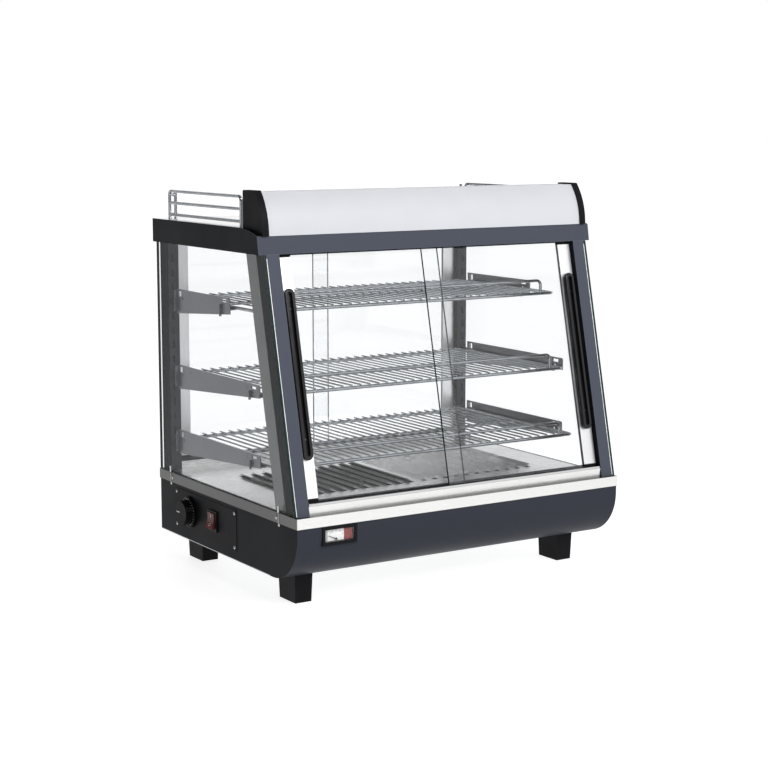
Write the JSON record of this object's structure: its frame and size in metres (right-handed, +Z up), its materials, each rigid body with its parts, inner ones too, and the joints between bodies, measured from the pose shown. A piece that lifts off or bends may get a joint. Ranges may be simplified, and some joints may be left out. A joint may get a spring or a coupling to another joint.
{
  "type": "hot food display case",
  "caption": "Heated countertop display cabinet with a sloping glass front, sliding doors front and rear, wire shelves over a louvred floor, and a lit hood.",
  "frame": {"origin": "middle of the footprint, on the surface the feet stand on", "axes": "+X to the right when facing the front, +Y to the back, +Z up; the sloping front faces -Y"},
  "size_m": [0.688, 0.5108, 0.683],
  "materials": {
    "charcoal_paint": "satin hammered paint",
    "stainless": "brushed",
    "galvanised_sheet": "plain",
    "black_plastic": "matte",
    "control_plate": "satin",
    "moulded_body": "matte",
    "plain_steel": "plain",
    "red_lens": "gloss",
    "pointer": "matte",
    "clear_lens": "clear",
    "clear_glass": "clear",
    "chromed_wire": "polished",
    "opal_plastic": "opal",
    "lamp_white": "gloss",
    "anodised_profile": "anodised"
  },
  "bodies": {
    "case": {"bottom_plate": "galvanised_sheet", "control_panel": "control_plate", "cord_inlet": "black_plastic", "floor_pan": "stainless", "foot_front_left": "black_plastic", "foot_front_right": "black_plastic", "foot_rear_left": "black_plastic", "foot_rear_right": "black_plastic", "front_fascia": "charcoal_paint", "front_sill": "stainless", "front_tracks": "black_plastic", "guard_rail_left": "chromed_wire", "guard_rail_right": "chromed_wire", "heating_elements": "plain_steel", "hood_back": "galvanised_sheet", "hood_diffuser": "opal_plastic", "hood_end_cap_left": "black_plastic", "hood_end_cap_right": "black_plastic", "hood_lamp": "lamp_white", "machine_screws": "plain_steel", "post_front_left": "charcoal_paint", "post_front_right": "charcoal_paint", "post_rear_left": "charcoal_paint", "post_rear_right": "charcoal_paint", "rear_panel": "charcoal_paint", "rear_sill": "stainless", "rear_tracks": "black_plastic", "rocker_housing": "black_plastic", "roof_plate": "stainless", "shelf_bottom": "chromed_wire", "shelf_brackets": "chromed_wire", "shelf_middle": "chromed_wire", "shelf_top": "chromed_wire", "side_glass_left": "clear_glass", "side_glass_right": "clear_glass", "side_panel_left": "charcoal_paint", "side_panel_right": "charcoal_paint", "side_strips": "stainless", "terminal_block": "moulded_body", "thermometer_case": "black_plastic", "thermometer_lens": "clear_lens", "thermostat_body": "moulded_body", "top_frame": "charcoal_paint", "trim_front": "stainless", "trim_rear": "stainless", "trim_sides": "stainless"},
    "front_left_door": {"door_front_left_glass": "clear_glass", "door_front_left_stile": "anodised_profile", "door_front_left_grip": "black_plastic"},
    "front_right_door": {"door_front_right_glass": "clear_glass", "door_front_right_stile": "anodised_profile", "door_front_right_grip": "black_plastic"},
    "rear_left_door": {"door_rear_left_glass": "clear_glass", "door_rear_left_stile": "anodised_profile"},
    "rear_right_door": {"door_rear_right_glass": "clear_glass", "door_rear_right_stile": "anodised_profile"},
    "thermostat_control": {"thermostat_spindle": "plain_steel", "thermostat_knob": "black_plastic"},
    "power_switch": {"rocker_paddle": "red_lens"},
    "temperature_needle": {"thermometer_pointer": "pointer"}
  },
  "joints": [
    {"name": "front_left_slide", "type": "slide", "parent": "case", "child": "front_left_door", "axis": [1, 0, 0], "range_m": [0, 0.25]},
    {"name": "front_right_slide", "type": "slide", "parent": "case", "child": "front_right_door", "axis": [1, 0, 0], "range_m": [-0.25, 0]},
    {"name": "rear_left_slide", "type": "slide", "parent": "case", "child": "rear_left_door", "axis": [1, 0, 0], "range_m": [0, 0.25]},
    {"name": "rear_right_slide", "type": "slide", "parent": "case", "child": "rear_right_door", "axis": [1, 0, 0], "range_m": [-0.25, 0]},
    {"name": "thermostat_turn", "type": "hinge", "parent": "case", "child": "thermostat_control", "pos_m": [-0.3475, 0.133, 0.1035], "axis": [1, 0, 0], "range_deg": [0, 270]},
    {"name": "switch_rock", "type": "hinge", "parent": "case", "child": "power_switch", "pos_m": [-0.3295, 0.042, 0.1048], "axis": [0, 1, 0], "range_deg": [-18, 0]},
    {"name": "needle_turn", "type": "hinge", "parent": "case", "child": "temperature_needle", "pos_m": [-0.255, -0.2514, 0.1217], "axis": [0, 1, 0], "range_deg": [0, 90]}
  ]
}
